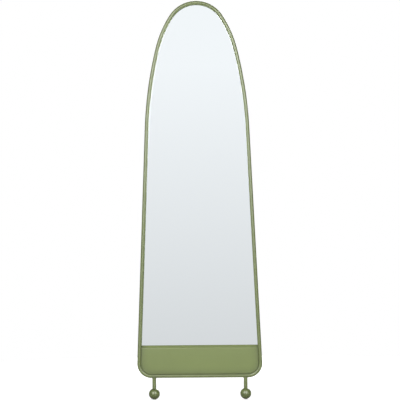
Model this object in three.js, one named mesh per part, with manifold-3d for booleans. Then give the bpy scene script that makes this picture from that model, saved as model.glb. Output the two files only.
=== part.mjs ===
// Tall arched wall mirror: a closed ring of bent steel tube carries the glass, a sheet-steel apron
// below it and two ball feet on short stems. Millimetres, +Z up, +X right, the viewer at -Y.
// The origin is the middle of the hanging rail's rear face, so the wall is the plane y = 0.
import * as THREE from 'three';
import { mergeVertices } from 'three/addons/utils/BufferGeometryUtils.js';
import Module from 'manifold-3d';

const wasm = await Module();
wasm.setup();

// Driving dimensions of the ring, all on the centre line of its tube
const ring_height = 1499;
const crown_radius = 119;
const shoulder_radius = 430;
const flank_radius = 1613;
const corner_radius = 49.7;
const crown_angle = THREE.MathUtils.degToRad(56.9);
const shoulder_angle = THREE.MathUtils.degToRad(19.1);
const flare_angle = THREE.MathUtils.degToRad(2.45);

// Tube
const tube_diameter = 15;
const tube_wall = 1.2;
const vent_diameter = 5;
const vent_place_share = 0.55;

// What lies behind the tube, from the front to the wall
const glass_thickness = 4;
const tape_thickness = 1;
const board_thickness = 6;
const rail_depth = 5;

// Rim strip, glass and board
const rim_thickness = 1.5;
const rim_overhang = 1.5;
const edge_clearance = 0.3;
const glass_under_panel = 14;
const tape_width = 25;
const tape_top_drop = 260;
const tape_foot_gap = 120;
const tape_spread = 110;

// Lower panel and the ledge for the glass
const panel_height = 130;
const panel_thickness = 1.5;
const panel_bend_radius = 4;
const panel_lip_angle = THREE.MathUtils.degToRad(32);
const ledge_thickness = 1.5;
const ledge_leg = 14;
const ledge_side_gap = 12;

// Tabs and their screws
const tab_width = 22;
const tab_reach = 26;
const tab_thickness = 2;
const tab_screw_inset = 8;
const tab_place_shares = [0.1, 0.34, 0.48, 0.62, 0.76, 0.94];
const screw_shank_diameter = 3.5;
const screw_head_diameter = 8;
const screw_head_height = 2.2;
const screw_recess_diameter = 3;
const screw_recess_depth = 1;
const board_skin_over_screw = 1.5;

// Hanging rail
const rail_place_share = 0.235;
const rail_web_height = 24;
const rail_foot_height = 9;
const rail_sheet = 1.5;
const keyhole_spacing = 200;
const keyhole_diameter = 11;
const keyhole_slot_width = 5.6;
const keyhole_slot_length = 8;

// Bumpers
const bumper_diameter = 20;
const bumper_tip_diameter = 16;
const bumper_rim_share = 0.35;
const bumper_inset = 48;
const bumper_place_shares = [0.17, 0.82];

// Feet
const stem_diameter = 15;
const stem_visible_length = 42;
const stem_top_drop = 3;
const stem_corner_gap = 3;
const ball_diameter = 44;
const stud_diameter = 8;
const stud_depth = 15;
const pad_diameter = 12;
const pad_thickness = 2;

// Clearances: welded and seated pieces lie this far apart, and cuts run this far past a face
const seat_gap = 0.3;
const overrun = 5;
const merge_distance = 1e-4;

// Facets
const tube_sides = 16;
const bore_sides = 12;
const ball_sides = 24;
const half_ball_rings = 8;
const screw_sides = 12;
const hole_sides = 12;
const bumper_sides = 24;
const bend_steps = 4;
const crown_steps = 12;
const shoulder_steps = 4;
const flank_steps = 5;
const flare_steps = 1;
const corner_steps = 9;

// Planes, counted forward from the wall
const board_back = -rail_depth;
const board_front = board_back - board_thickness;
const glass_back = board_front - tape_thickness;
const glass_front = glass_back - glass_thickness;
const tube_radius = tube_diameter / 2;
const axis_y = glass_front - seat_gap - tube_radius;

// Finishes
function finish(color, roughness, metalness) {
  return new THREE.MeshStandardMaterial({ color, roughness, metalness });
}

const sage_coat = finish(0x7f8f60, 0.45, 0.1);
const silvered_glass = finish(0xdfe3ea, 0.04, 1);
const black_board = finish(0x26241f, 0.85, 0);
const foam_tape = finish(0xe8e6e0, 0.9, 0);
const zinc_plate = finish(0xb9b8b0, 0.35, 0.9);
const black_rubber = finish(0x1b1b1c, 0.8, 0);
const grey_felt = finish(0x6b6a66, 0.95, 0);

// The right half of the ring, from the middle of the crown to the middle of the bottom run: three arcs that
// carry on from each other, a straight flared side and the corner arc. Angles count from straight up and
// heights from the crown of the centre line. Every station keeps its outward normal.
const flare_turn = Math.PI / 2 - flare_angle;
const shoulder_turn = crown_angle + shoulder_angle;

// The centre of an arc that carries on smoothly, at another radius, from where a first arc ends
function next_centre(centre, radius, next_radius, angle) {
  return {
    x: centre.x + (radius - next_radius) * Math.sin(angle),
    z: centre.z + (radius - next_radius) * Math.cos(angle),
  };
}

function arc_point(centre, radius, angle) {
  const nx = Math.sin(angle);
  const nz = Math.cos(angle);
  return { x: centre.x + radius * nx, z: centre.z + radius * nz, nx, nz };
}

function angles_between(from, to, steps) {
  return Array.from({ length: steps + 1 }, (_, i) => THREE.MathUtils.lerp(from, to, i / steps));
}

// The stations of one arc after its first point
function arc_stations(centre, radius, from, to, steps) {
  return angles_between(from, to, steps).slice(1).map((angle) => arc_point(centre, radius, angle));
}

const crown_centre = { x: 0, z: -crown_radius };
const shoulder_centre = next_centre(crown_centre, crown_radius, shoulder_radius, crown_angle);
const flank_centre = next_centre(shoulder_centre, shoulder_radius, flank_radius, shoulder_turn);
const flank_foot = arc_point(flank_centre, flank_radius, flare_turn);
const corner_z = -ring_height + corner_radius;
const flare_fall = flank_foot.z - corner_z - corner_radius * Math.sin(flare_angle);
const corner_x = flank_foot.x + flare_fall * Math.tan(flare_angle) - corner_radius * Math.cos(flare_angle);
const corner_centre = { x: corner_x, z: corner_z };
const ring_half_width = corner_x + corner_radius;

const half_ring = [
  arc_point(crown_centre, crown_radius, 0),
  ...arc_stations(crown_centre, crown_radius, 0, crown_angle, crown_steps),
  ...arc_stations(shoulder_centre, shoulder_radius, crown_angle, shoulder_turn, shoulder_steps),
  ...arc_stations(flank_centre, flank_radius, shoulder_turn, flare_turn, flank_steps),
  arc_point(corner_centre, corner_radius, flare_turn),
  ...arc_stations(corner_centre, corner_radius, flare_turn, Math.PI / 2, flare_steps),
  ...arc_stations(corner_centre, corner_radius, Math.PI / 2, Math.PI, corner_steps),
  { x: 0, z: -ring_height, nx: 0, nz: -1 },
];
const left_half = half_ring.slice(1, -1).reverse().map(({ x, z, nx, nz }) => ({ x: -x, z, nx: -nx, nz }));
const ring = [...half_ring, ...left_half];

// A place on the half ring, as a share of its length from the crown
function ring_place(share) {
  const lengths = half_ring.slice(1).map((s, i) => Math.hypot(s.x - half_ring[i].x, s.z - half_ring[i].z));
  let left = share * lengths.reduce((sum, length) => sum + length, 0);
  let index = 0;
  while (index < lengths.length - 1 && left > lengths[index]) {
    left -= lengths[index];
    index++;
  }
  const [from, to] = [half_ring[index], half_ring[index + 1]];
  const mix = (key) => THREE.MathUtils.lerp(from[key], to[key], left / lengths[index]);
  return { x: mix('x'), z: mix('z'), nx: mix('nx'), nz: mix('nz') };
}

// The ring's crown stands this high above the rail, which is the origin
const crown_z = -ring_place(rail_place_share).z;

// Outline of the ring grown outwards, or shrunk where the offset is negative
function ring_outline(offset) {
  return ring.map((s) => new THREE.Vector2(s.x + s.nx * offset, s.z + s.nz * offset));
}

// Half the width of that outline at one height, measured below the crown of the centre line
function half_width(z, offset) {
  const right = half_ring.map((s) => ({ x: s.x + s.nx * offset, z: s.z + s.nz * offset }));
  for (let i = 1; i < right.length; i++) {
    if (right[i].z <= z && right[i].z < right[i - 1].z) {
      const share = (right[i - 1].z - z) / (right[i - 1].z - right[i].z);
      return THREE.MathUtils.lerp(right[i - 1].x, right[i].x, share);
    }
  }
  return 0;
}

// Solids
function to_solid(geometry) {
  const bare = geometry.clone();
  bare.deleteAttribute('normal');
  bare.deleteAttribute('uv');
  const merged = mergeVertices(bare, merge_distance);
  const vertProperties = new Float32Array(merged.attributes.position.array);
  const triVerts = new Uint32Array(merged.index.array);
  return new wasm.Manifold(new wasm.Mesh({ numProp: 3, vertProperties, triVerts }));
}

function to_geometry(solid) {
  const { vertProperties, triVerts } = solid.getMesh();
  const geometry = new THREE.BufferGeometry();
  geometry.setAttribute('position', new THREE.BufferAttribute(vertProperties, 3));
  geometry.setIndex(new THREE.BufferAttribute(triVerts, 1));
  const faceted = geometry.toNonIndexed();
  faceted.computeVertexNormals();
  return faceted;
}

function cut(geometry, cutters) {
  const solid = cutters.reduce((rest, cutter) => rest.subtract(to_solid(cutter)), to_solid(geometry));
  return to_geometry(solid);
}

// A shape drawn in X and Z, made thick from the plane y = front to the plane y = back
function plate(shape, front, back) {
  const geometry = new THREE.ExtrudeGeometry(shape, { depth: back - front, bevelEnabled: false });
  geometry.rotateX(Math.PI / 2);
  geometry.translate(0, back, 0);
  return geometry;
}

// A side profile drawn in Y and Z, run along X over the given length about x = 0
function run_along_x(shape, length) {
  const geometry = new THREE.ExtrudeGeometry(shape, { depth: length, bevelEnabled: false });
  geometry.rotateY(Math.PI / 2);
  geometry.rotateX(Math.PI / 2);
  geometry.translate(-length / 2, 0, 0);
  return geometry;
}

// A shape through points given as pairs. A pair that repeats the one before it is left out.
function shape_through(pairs) {
  const points = pairs.map(([across, up]) => new THREE.Vector2(across, up));
  return new THREE.Shape(points.filter((p, i) => i === 0 || p.distanceTo(points[i - 1]) > merge_distance));
}

function rectangle(x_low, x_high, z_low, z_high) {
  return shape_through([[x_low, z_low], [x_high, z_low], [x_high, z_high], [x_low, z_high]]);
}

// A round cutter along Y between two planes
function bore_along_y(radius, front, back, x, z) {
  const geometry = new THREE.CylinderGeometry(radius, radius, back - front, hole_sides);
  geometry.translate(x, (front + back) / 2, z);
  return geometry;
}

// Profile points (radius, height) turned about Z
function turned(profile, sides) {
  const geometry = new THREE.LatheGeometry(profile.map(([r, h]) => new THREE.Vector2(r, h)), sides);
  geometry.rotateX(Math.PI / 2);
  return geometry;
}

const mirror = new THREE.Group();
const on_ring = new THREE.Group();
on_ring.position.z = crown_z;
mirror.add(on_ring);

function piece(name, geometry, material, parent = on_ring) {
  const mesh = new THREE.Mesh(geometry, material);
  mesh.name = name;
  parent.add(mesh);
  return mesh;
}

// Frame tube: a closed path through the ring's stations, so the pipe has no ends
class RingPath extends THREE.Curve {
  getPoint(t, target = new THREE.Vector3()) {
    const place = (t * ring.length) % ring.length;
    const station = ring[Math.floor(place)];
    const next = ring[(Math.floor(place) + 1) % ring.length];
    const mix = place - Math.floor(place);
    const x = THREE.MathUtils.lerp(station.x, next.x, mix);
    return target.set(x, 0, THREE.MathUtils.lerp(station.z, next.z, mix));
  }

  getTangent(t, target = new THREE.Vector3()) {
    const station = ring[Math.round(t * ring.length) % ring.length];
    return target.set(station.nz, 0, -station.nx);
  }

  getUtoTmapping(u) {
    return u;
  }
}

function frame_tube() {
  const path = new RingPath();
  const outside = new THREE.TubeGeometry(path, ring.length, tube_radius, tube_sides, true);
  const inside = new THREE.TubeGeometry(path, ring.length, tube_radius - tube_wall, bore_sides, true);
  const vent_x = corner_centre.x * vent_place_share;
  const vent = (x) => bore_along_y(vent_diameter / 2, 0, tube_radius + overrun, x, -ring_height);
  const vents = [-vent_x, vent_x].map(vent);
  const tube = cut(outside, [inside, ...vents]);
  piece('frame_tube', tube, sage_coat).position.y = axis_y;
}

// Frame rim: the flat strip behind the tube, round the glass and the board. Its hole's outline runs the
// other way round from its outer one.
function frame_rim() {
  const strip = new THREE.Shape(ring_outline(rim_overhang + rim_thickness));
  strip.holes.push(new THREE.Path(ring_outline(rim_overhang).reverse()));
  piece('frame_rim', plate(strip, glass_front, board_back), sage_coat);
}

// Lower panel: flat sheet on the tube's axis plane. A lip at its top edge slopes back until it meets the
// glass, where it is cut upright. The sheet is trimmed to the inside of the tube.
const panel_top = -ring_height + panel_height - tube_radius;
const lip_depth = glass_front - seat_gap - axis_y;

function lower_panel() {
  const [sine, cosine] = [Math.sin(panel_lip_angle), Math.cos(panel_lip_angle)];
  const bend_outer = Math.min(panel_bend_radius, lip_depth / (1 - cosine));
  const bend_inner = Math.max(bend_outer - panel_thickness, 0);
  const lip_run = (lip_depth - bend_outer * (1 - cosine)) / sine;
  const bend_z = panel_top - bend_outer * sine - lip_run * cosine;
  const bend = (radius, angle) => [
    axis_y + bend_outer - radius * Math.cos(angle),
    bend_z + radius * Math.sin(angle),
  ];
  const angles = angles_between(0, panel_lip_angle, bend_steps);
  const lip_end = axis_y + lip_depth;
  const below_ring = -ring_height - overrun;
  const profile = shape_through([
    [axis_y, below_ring],
    ...angles.map((angle) => bend(bend_outer, angle)),
    [lip_end, panel_top],
    [lip_end, panel_top - panel_thickness / sine],
    ...angles.reverse().map((angle) => bend(bend_inner, angle)),
    [axis_y + panel_thickness, below_ring],
  ]);
  const sheet = to_solid(run_along_x(profile, 2 * (ring_half_width + overrun)));
  const inside_tube = new THREE.Shape(ring_outline(-tube_radius - seat_gap));
  const opening = to_solid(plate(inside_tube, axis_y - overrun, glass_front + overrun));
  piece('lower_panel', to_geometry(sheet.intersect(opening)), sage_coat);
}

// Glass, board and the tape between them
const glass_edge = rim_overhang - edge_clearance;
const glass_bottom = panel_top - glass_under_panel;

function mirror_glass() {
  const bottom_half = half_width(glass_bottom, glass_edge);
  const above = ring_outline(glass_edge).filter((point) => point.y > glass_bottom);
  const outline = new THREE.Shape([
    ...above.filter((point) => point.x >= 0),
    new THREE.Vector2(bottom_half, glass_bottom),
    new THREE.Vector2(-bottom_half, glass_bottom),
    ...above.filter((point) => point.x < 0),
  ]);
  piece('mirror_glass', plate(outline, glass_front, glass_back), silvered_glass);
}

function glass_tapes() {
  const centres = { left: -tape_spread, middle: 0, right: tape_spread };
  for (const [side, x] of Object.entries(centres)) {
    const foot = glass_bottom + tape_foot_gap;
    const strip = rectangle(x - tape_width / 2, x + tape_width / 2, foot, -tape_top_drop);
    piece(`glass_tape_${side}`, plate(strip, glass_back, board_front), foam_tape);
  }
}

// Ledge: an angle on the panel's back. The glass stands on its level leg.
function glass_ledge() {
  const back = glass_back + tape_thickness / 2;
  const front = axis_y + panel_thickness + seat_gap;
  const top = glass_bottom - seat_gap;
  const profile = shape_through([
    [front, top - ledge_leg],
    [front, top],
    [back, top],
    [back, top - ledge_thickness],
    [front + ledge_thickness, top - ledge_thickness],
    [front + ledge_thickness, top - ledge_leg],
  ]);
  const length = 2 * (half_width(top, -tube_radius) - ledge_side_gap);
  piece('glass_ledge', run_along_x(profile, length), sage_coat);
}

// A frame turned to the ring at one place: its +Z points outwards along the ring's normal
function ring_frame(share, side) {
  const place = ring_place(share);
  const frame = new THREE.Group();
  frame.position.set(place.x * side, 0, place.z);
  frame.rotation.y = Math.atan2(place.nx * side, place.nz);
  on_ring.add(frame);
  return frame;
}

const screw_bite = Math.max(board_thickness - board_skin_over_screw, tab_thickness);
const screw_place = -tab_screw_inset;
const screw_hole_radius = screw_shank_diameter / 2 + seat_gap;

function each_tab(make) {
  let count = 0;
  for (const share of tab_place_shares) {
    for (const side of [-1, 1]) {
      count++;
      make(share, side, String(count).padStart(2, '0'));
    }
  }
}

function back_board() {
  const holes = [];
  const hole_floor = board_back - screw_bite - seat_gap;
  each_tab((share, side) => {
    const place = ring_place(share);
    const x = side * (place.x + place.nx * screw_place);
    const z = place.z + place.nz * screw_place;
    holes.push(bore_along_y(screw_hole_radius, hole_floor, board_back + overrun, x, z));
  });
  const board = plate(new THREE.Shape(ring_outline(glass_edge)), board_front, board_back);
  piece('back_board', cut(board, holes), black_board);
}

// Tabs: flat plates on the rim's rear edge, each screwed into the board
function board_tabs() {
  const outer = rim_overhang + rim_thickness;
  each_tab((share, side, number) => {
    const frame = ring_frame(share, side);
    const flat = rectangle(-tab_width / 2, tab_width / 2, outer - tab_reach, outer);
    const hole = bore_along_y(screw_hole_radius, board_back - overrun, overrun, 0, screw_place);
    const tab = cut(plate(flat, board_back, board_back + tab_thickness), [hole]);
    piece(`board_tab_${number}`, tab, sage_coat, frame);
    const screw = piece(`tab_screw_${number}`, screw_solid(), zinc_plate, frame);
    screw.position.set(0, board_back + tab_thickness, screw_place);
  });
}

// Pan-head screw along Y, its head seated on y = 0, with a round driving recess
function screw_solid() {
  const shank = screw_shank_diameter / 2;
  const head = screw_head_diameter / 2;
  const recess = screw_recess_diameter / 2;
  const tip = -tab_thickness - screw_bite;
  const profile = [
    [0, tip],
    [shank, tip + shank],
    [shank, 0],
    [head, 0],
    [head, screw_head_height / 2],
    [(head + recess) / 2, screw_head_height],
    [recess, screw_head_height],
    [recess, screw_head_height - screw_recess_depth],
    [0, screw_head_height - screw_recess_depth],
  ];
  const geometry = turned(profile, screw_sides);
  geometry.rotateX(-Math.PI / 2);
  return geometry;
}

// Hanging rail: a hat section across the rim. Its feet lie on the board and the rim, and its web is the
// face that meets the wall.
function hanging_rail() {
  const half_web = rail_web_height / 2;
  const half_all = half_web + rail_foot_height;
  const foot_back = board_back + rail_sheet;
  const profile = shape_through([
    [board_back, -half_all],
    [board_back, -half_web + rail_sheet],
    [-rail_sheet, -half_web + rail_sheet],
    [-rail_sheet, half_web - rail_sheet],
    [board_back, half_web - rail_sheet],
    [board_back, half_all],
    [foot_back, half_all],
    [foot_back, half_web],
    [0, half_web],
    [0, -half_web],
    [foot_back, -half_web],
    [foot_back, -half_all],
  ]);
  const length = 2 * half_width(half_all - crown_z, rim_overhang + rim_thickness);
  const cutters = [-keyhole_spacing / 2, keyhole_spacing / 2].map(keyhole_cutter);
  piece('hanging_rail', cut(run_along_x(profile, length), cutters), sage_coat, mirror);
}

// Keyhole outline: a round mouth for the screw's head, and a slot above it that the shank slides into
function keyhole_cutter(x) {
  const mouth = keyhole_diameter / 2;
  const slot = keyhole_slot_width / 2;
  const half_opening = Math.asin(slot / mouth);
  const round = (radius, z, from, to) => angles_between(from, to, hole_sides).map((angle) => [
    x + radius * Math.sin(angle),
    z + radius * Math.cos(angle),
  ]);
  const outline = shape_through([
    ...round(mouth, -slot, half_opening, 2 * Math.PI - half_opening),
    ...round(slot, keyhole_slot_length - slot, -Math.PI / 2, Math.PI / 2),
  ]);
  return plate(outline, -rail_sheet - seat_gap, overrun);
}

// Bumpers: turned rubber cones on the board's back, as deep as the rail
function wall_bumpers() {
  const profile = [
    [0, board_back],
    [bumper_diameter / 2, board_back],
    [bumper_diameter / 2, board_back + rail_depth * bumper_rim_share],
    [bumper_tip_diameter / 2, 0],
    [0, 0],
  ];
  const levels = ['upper', 'lower'];
  bumper_place_shares.forEach((share, index) => {
    const place = ring_place(share);
    for (const side of [-1, 1]) {
      const geometry = turned(profile, bumper_sides);
      geometry.rotateX(-Math.PI / 2);
      const name = `wall_bumper_${levels[index]}_${side < 0 ? 'left' : 'right'}`;
      const bumper = piece(name, geometry, black_rubber);
      bumper.position.set(side * (place.x - place.nx * bumper_inset), 0, place.z - place.nz * bumper_inset);
    }
  });
}

// Feet, each built about the ball's centre
const ball_radius = ball_diameter / 2;
const stem_radius = stem_diameter / 2;
const stud_radius = stud_diameter / 2;
const pad_radius = pad_diameter / 2;
const ball_top_flat = Math.sqrt(ball_radius ** 2 - stem_radius ** 2);
const stem_bore_radius = stud_radius + seat_gap;

function foot_stem() {
  const tube_bottom = ball_radius + stem_visible_length;
  const axis_height = tube_bottom + tube_radius;
  const bore_top = ball_top_flat + stud_depth + seat_gap;
  const profile = [
    [0, bore_top],
    [stem_bore_radius, bore_top],
    [stem_bore_radius, ball_top_flat],
    [stem_radius, ball_top_flat],
    [stem_radius, axis_height - stem_top_drop],
    [0, axis_height - stem_top_drop],
  ];
  const saddle = new THREE.CylinderGeometry(
    tube_radius + seat_gap, tube_radius + seat_gap, stem_diameter + overrun, ball_sides,
  );
  saddle.rotateZ(Math.PI / 2);
  saddle.translate(0, 0, axis_height);
  return cut(turned(profile, ball_sides), [saddle]);
}

function foot_ball() {
  const pad_hole = pad_radius + seat_gap;
  const from = Math.acos(ball_top_flat / ball_radius);
  const to = Math.PI - Math.asin(pad_hole / ball_radius);
  const bore_bottom = ball_top_flat - stud_depth - seat_gap;
  const upper = angles_between(from, Math.PI / 2, half_ball_rings);
  const lower = angles_between(Math.PI / 2, to, half_ball_rings).slice(1);
  const arc = [...upper, ...lower].map((angle) => [
    ball_radius * Math.sin(angle),
    ball_radius * Math.cos(angle),
  ]);
  const profile = [
    [0, bore_bottom],
    [stem_bore_radius, bore_bottom],
    [stem_bore_radius, ball_top_flat],
    ...arc,
    [pad_hole, -ball_radius + pad_thickness],
    [0, -ball_radius + pad_thickness],
  ].reverse();
  return turned(profile, ball_sides);
}

function foot_stud() {
  const low = ball_top_flat - stud_depth;
  const high = ball_top_flat + stud_depth;
  return turned([[0, low], [stud_radius, low], [stud_radius, high], [0, high]], screw_sides);
}

function floor_pad() {
  const low = -ball_radius;
  const high = -ball_radius + pad_thickness;
  return turned([[0, low], [pad_radius, low], [pad_radius, high], [0, high]], screw_sides);
}

// The stems stand just inside the ends of the bottom run's straight stretch
function feet() {
  for (const side of [-1, 1]) {
    const word = side < 0 ? 'left' : 'right';
    const foot = new THREE.Group();
    const drop = tube_radius + stem_visible_length + ball_radius;
    const foot_x = corner_centre.x - stem_radius - stem_corner_gap;
    foot.position.set(side * foot_x, axis_y, -ring_height - drop);
    on_ring.add(foot);
    piece(`foot_stem_${word}`, foot_stem(), sage_coat, foot);
    piece(`foot_ball_${word}`, foot_ball(), sage_coat, foot);
    piece(`foot_stud_${word}`, foot_stud(), zinc_plate, foot);
    piece(`floor_pad_${word}`, floor_pad(), grey_felt, foot);
  }
}

frame_tube();
frame_rim();
lower_panel();
glass_ledge();
mirror_glass();
glass_tapes();
back_board();
board_tabs();
hanging_rail();
wall_bumpers();
feet();

export default mirror;
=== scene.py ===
# %% [markdown]
# # A tall arched wall mirror
#
# The real mirror is built on one closed ring of bent steel tube. The ring has a blunt arch at the top, sides
# that flare slowly outwards and two rounded bottom corners. It carries a long mirror glass, a sheet-steel panel
# below the glass and two ball feet on short stems. All the steel wears one sage-green powder coat.
#
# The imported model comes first. It is a fixed frame in metres, with the wall at y = 0, the viewer at -Y and +Z
# up. Each fine piece made below takes its place from this frame, so nothing has to be fitted afterwards.

# %% Load the frame
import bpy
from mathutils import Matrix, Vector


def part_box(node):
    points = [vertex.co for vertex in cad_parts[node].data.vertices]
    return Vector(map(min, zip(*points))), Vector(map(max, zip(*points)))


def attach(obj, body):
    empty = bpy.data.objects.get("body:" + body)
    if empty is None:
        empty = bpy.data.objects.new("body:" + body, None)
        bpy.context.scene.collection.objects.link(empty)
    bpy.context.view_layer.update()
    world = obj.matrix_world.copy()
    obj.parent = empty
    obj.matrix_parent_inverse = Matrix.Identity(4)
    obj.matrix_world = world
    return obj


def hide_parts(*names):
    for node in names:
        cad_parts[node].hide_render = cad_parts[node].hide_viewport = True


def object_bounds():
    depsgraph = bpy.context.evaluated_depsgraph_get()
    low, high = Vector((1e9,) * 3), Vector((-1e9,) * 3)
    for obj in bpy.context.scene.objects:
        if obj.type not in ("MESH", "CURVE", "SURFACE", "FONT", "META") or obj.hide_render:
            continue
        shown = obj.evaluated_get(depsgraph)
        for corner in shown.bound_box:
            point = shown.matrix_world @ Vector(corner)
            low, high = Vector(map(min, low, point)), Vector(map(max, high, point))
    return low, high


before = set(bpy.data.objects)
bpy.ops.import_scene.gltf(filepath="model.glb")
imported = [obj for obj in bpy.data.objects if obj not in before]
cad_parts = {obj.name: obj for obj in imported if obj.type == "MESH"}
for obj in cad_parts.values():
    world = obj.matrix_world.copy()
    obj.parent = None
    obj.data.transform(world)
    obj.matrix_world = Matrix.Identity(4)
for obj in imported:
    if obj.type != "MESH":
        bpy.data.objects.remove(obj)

cad_low, cad_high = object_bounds()

# %% [markdown]
# ## The camera
#
# The photograph is square. It was taken from some six metres away, a little to the right of the mirror and just
# below its middle, with the camera turned by less than a degree. A long lens at a real distance is better here
# than a flat orthographic view, because the glass lies behind the tube and shows a sliver of its back.

# %% Camera
import math

import bpy
from mathutils import Matrix, Vector

CAMERA_PLACE = Vector((0.345, -6.324, -0.590))
CAMERA_AIM = Vector((0.0090, -0.0238, -0.4507))
CAMERA_TURN = math.radians(-0.665)
SEEN_WIDTH = 1.6065


def put_in_scene(name, data):
    """An object of the scene that carries a mesh, a lamp or a lens."""
    made = bpy.data.objects.new(name, data)
    bpy.context.scene.collection.objects.link(made)
    return made


def looking(place, target):
    """The stand of a camera or lamp that looks from a place to its target."""
    facing = (target - place).to_track_quat("-Z", "Y").to_matrix().to_4x4()
    return Matrix.Translation(place) @ facing


lens_data = bpy.data.cameras.new("camera")
camera = put_in_scene("camera", lens_data)
camera.matrix_world = looking(CAMERA_PLACE, CAMERA_AIM) @ Matrix.Rotation(CAMERA_TURN, 4, "Z")
bpy.context.scene.camera = camera
sight = CAMERA_AIM - CAMERA_PLACE
lens_data.lens = lens_data.sensor_width * sight.length / SEEN_WIDTH
print(f"lens {lens_data.lens:.1f} mm at {sight.length:.2f} m")

# %% [markdown]
# ## The shape of the ring
#
# A bending machine makes this ring from a few tight and wide arcs and from straight stretches, so the script
# does the same. Three arcs of growing radius carry on from each other, a straight flared side follows, and a
# corner arc turns into the flat bottom. A spline through picked points would wobble where the steel doesn't.
# Angles count from straight up. Every station keeps the direction that points straight out of the ring.

# %% Ring stations
CROWN_RADIUS = 0.119
SHOULDER_RADIUS = 0.430
FLANK_RADIUS = 1.613
CORNER_RADIUS = 0.0497
CROWN_ANGLE = math.radians(56.9)
SHOULDER_ANGLE = math.radians(19.1)
FLARE_ANGLE = math.radians(2.45)
STATION_STEP = 0.005

tube_low, tube_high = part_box("frame_tube")
tube_radius = (tube_high.y - tube_low.y) / 2
axis_y = (tube_high.y + tube_low.y) / 2
crown_z = tube_high.z - tube_radius
bottom_z = tube_low.z + tube_radius


def lerp(start, end, share):
    return start + (end - start) * share


def arc(centre, radius, start, end):
    """Stations (x, z, outward x, outward z) along one arc, in even steps of about STATION_STEP."""
    steps = max(2, round(abs(end - start) * radius / STATION_STEP))
    angles = [lerp(start, end, i / steps) for i in range(steps + 1)]
    return [
        (centre[0] + radius * math.sin(a), centre[1] + radius * math.cos(a), math.sin(a), math.cos(a))
        for a in angles
    ]


def carry_on(centre, radius, next_radius, angle):
    """The centre of an arc of another radius that goes on smoothly from where an arc ends."""
    change = radius - next_radius
    return centre[0] + change * math.sin(angle), centre[1] + change * math.cos(angle)


def half_ring():
    """The right half, from the middle of the crown to the middle of the bottom run."""
    shoulder_turn = CROWN_ANGLE + SHOULDER_ANGLE
    flare_turn = math.pi / 2 - FLARE_ANGLE
    crown = (0, crown_z - CROWN_RADIUS)
    shoulder = carry_on(crown, CROWN_RADIUS, SHOULDER_RADIUS, CROWN_ANGLE)
    flank = carry_on(shoulder, SHOULDER_RADIUS, FLANK_RADIUS, shoulder_turn)
    stations = arc(crown, CROWN_RADIUS, 0, CROWN_ANGLE)
    stations += arc(shoulder, SHOULDER_RADIUS, CROWN_ANGLE, shoulder_turn)[1:]
    stations += arc(flank, FLANK_RADIUS, shoulder_turn, flare_turn)[1:]
    foot_x, foot_z = stations[-1][:2]
    corner_z = bottom_z + CORNER_RADIUS
    fall = foot_z - corner_z - CORNER_RADIUS * math.sin(FLARE_ANGLE)
    corner_x = foot_x + fall * math.tan(FLARE_ANGLE) - CORNER_RADIUS * math.cos(FLARE_ANGLE)
    stations += arc((corner_x, corner_z), CORNER_RADIUS, flare_turn, math.pi)
    return stations + [(0, bottom_z, 0, -1)]


right_half = half_ring()
left_half = [(-x, z, -out_x, out_z) for x, z, out_x, out_z in right_half[-2:0:-1]]
ring = right_half + left_half

# %% [markdown]
# ## One way to make every mesh
#
# Tubes, strips, plates and turned parts are all the same thing: a row of closed loops of points with a skin of
# quads between neighbouring loops. A plate is its outline at two depths, with a slightly smaller loop at each
# face for the broken edge. A turned part is a row of circles. So one helper makes them all.

# %% Skins over loops
import bmesh


def skin(loops, closed=False):
    """Vertices and faces that join a row of equal loops. An open row gets a flat cap at each end."""
    count = len(loops[0])
    vertices = [tuple(point) for loop in loops for point in loop]
    faces = []
    for row in range(len(loops) if closed else len(loops) - 1):
        here, there = row * count, (row + 1) % len(loops) * count
        for i in range(count):
            j = (i + 1) % count
            faces.append((here + i, here + j, there + j, there + i))
    if not closed:
        faces.append(tuple(range(count - 1, -1, -1)))
        faces.append(tuple(range((len(loops) - 1) * count, len(loops) * count)))
    return vertices, faces


def join(parts):
    """Several (vertices, faces) as one."""
    vertices, faces = [], []
    for part_vertices, part_faces in parts:
        start = len(vertices)
        vertices += part_vertices
        faces += [tuple(start + i for i in face) for face in part_faces]
    return vertices, faces


def solid(name, parts):
    """A closed mesh object with its faces pointing out."""
    vertices, faces = join(parts)
    mesh = bpy.data.meshes.new(name)
    mesh.from_pydata(vertices, [], faces)
    shape = bmesh.new()
    shape.from_mesh(mesh)
    bmesh.ops.recalc_face_normals(shape, faces=shape.faces)
    shape.to_mesh(mesh)
    shape.free()
    return put_in_scene(name, mesh)


square = [(-1, -1), (1, -1), (1, 1), (-1, 1)]
vertices, faces = skin([[(x, y, z) for x, y in square] for z in (0, 1)])
print(f"a skin over two squares is a box with {len(vertices)} corners and {len(faces)} faces")

# %% [markdown]
# Holes and trimmed edges are cut with closed shapes by the exact boolean, and its result goes straight into the
# piece's mesh. The last step is the same for each piece. Faces that meet at more than the given angle stay
# sharp, the others are shaded smooth, and the piece gets its material and its place in the frame.

# %% Cutting and finishing
SHARP_ANGLE = math.radians(32)


def carve(piece, cutter_parts, operation="DIFFERENCE"):
    """Cuts a piece with closed shapes, or keeps only what lies in them."""
    cutter = solid(piece.name + "_cutter", cutter_parts)
    modifier = piece.modifiers.new("carve", "BOOLEAN")
    modifier.operation = operation
    modifier.solver = "EXACT"
    modifier.object = cutter
    graph = bpy.context.evaluated_depsgraph_get()
    mesh = bpy.data.meshes.new_from_object(piece.evaluated_get(graph))
    piece.modifiers.clear()
    piece.data = mesh
    bpy.data.objects.remove(cutter)


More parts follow.
